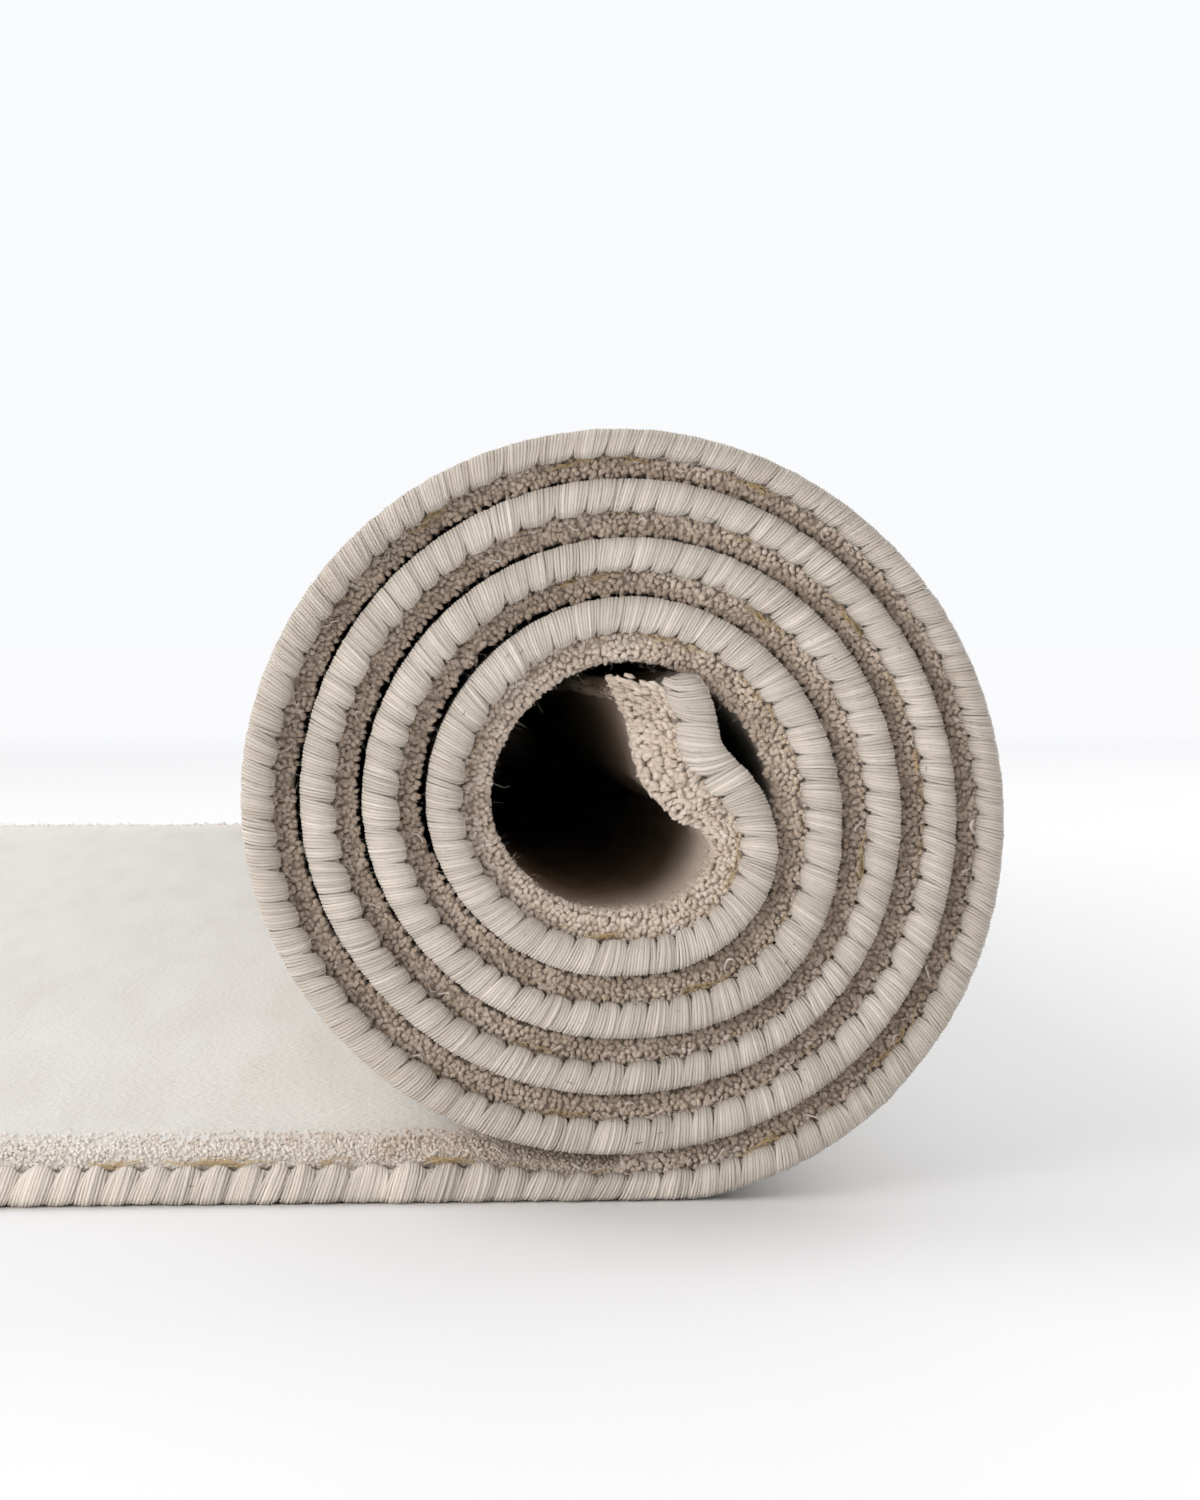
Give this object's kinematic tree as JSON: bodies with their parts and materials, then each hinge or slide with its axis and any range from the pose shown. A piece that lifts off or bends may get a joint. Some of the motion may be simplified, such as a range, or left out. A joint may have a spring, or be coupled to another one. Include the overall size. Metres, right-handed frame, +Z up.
{
  "type": "rolled up carpet",
  "caption": "Thick undyed wool pile carpet, rolled up with its pile inside and one stretch still flat on the floor, its edges bound with a fat cord of overcast yarn",
  "frame": {"origin": "On the floor, in the middle of the whole thing's base", "axes": "+Z is up, Y runs along the roll's axis, and the flat stretch lies towards -X. Looking along +Y, the roll is on the right and winds inwards counter-clockwise"},
  "size_m": [0.4561, 1.22, 0.155],
  "materials": {
    "carpet_wool": "matte undyed wool pile",
    "overcast_wool": "matte undyed wool yarn"
  },
  "bodies": {
    "root": {"carpet": "carpet_wool", "overcast_front": "overcast_wool", "overcast_back": "overcast_wool", "overcast_floor_end": "overcast_wool", "overcast_core_end": "overcast_wool"}
  },
  "joints": []
}
